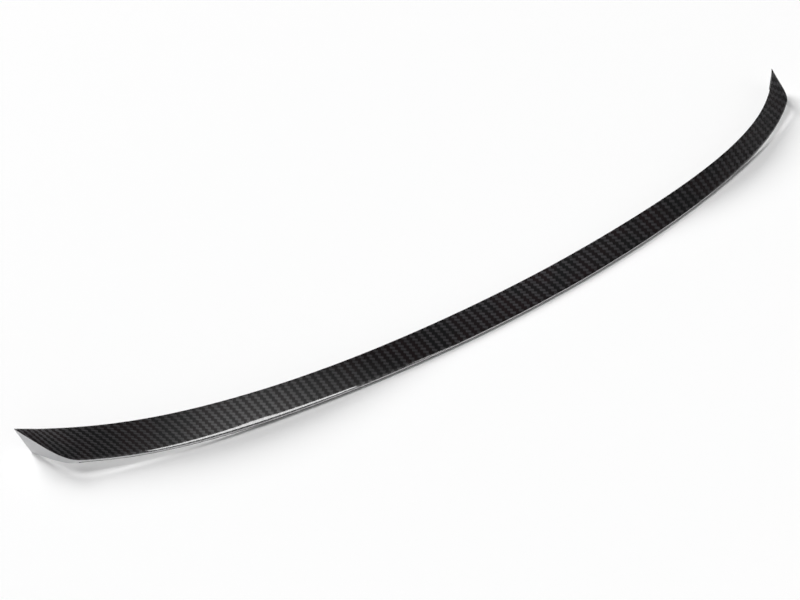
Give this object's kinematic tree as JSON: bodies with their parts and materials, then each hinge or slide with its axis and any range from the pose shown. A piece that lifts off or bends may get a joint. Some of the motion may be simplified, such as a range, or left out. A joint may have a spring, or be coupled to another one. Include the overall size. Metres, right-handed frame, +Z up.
{
  "type": "car rear spoiler",
  "caption": "Thin bowed lip spoiler for a boot lid, one glossy twill-faced shell with a twisted top face, an undercut rear wall and pointed ends cut at a slant.",
  "frame": {"origin": "middle of the rear wall's foot at mid-span, on the plane that the spoiler stands on", "axes": "+X along the span to the right-hand tip, +Y to the front of the car, +Z up"},
  "size_m": [1.2, 0.1598, 0.031],
  "materials": {
    "shell": "black 2x2 twill carbon laminate under a clear gloss coat, with a pale grey satin rear wall"
  },
  "bodies": {
    "root": {"spoiler_shell": "shell"}
  },
  "joints": []
}
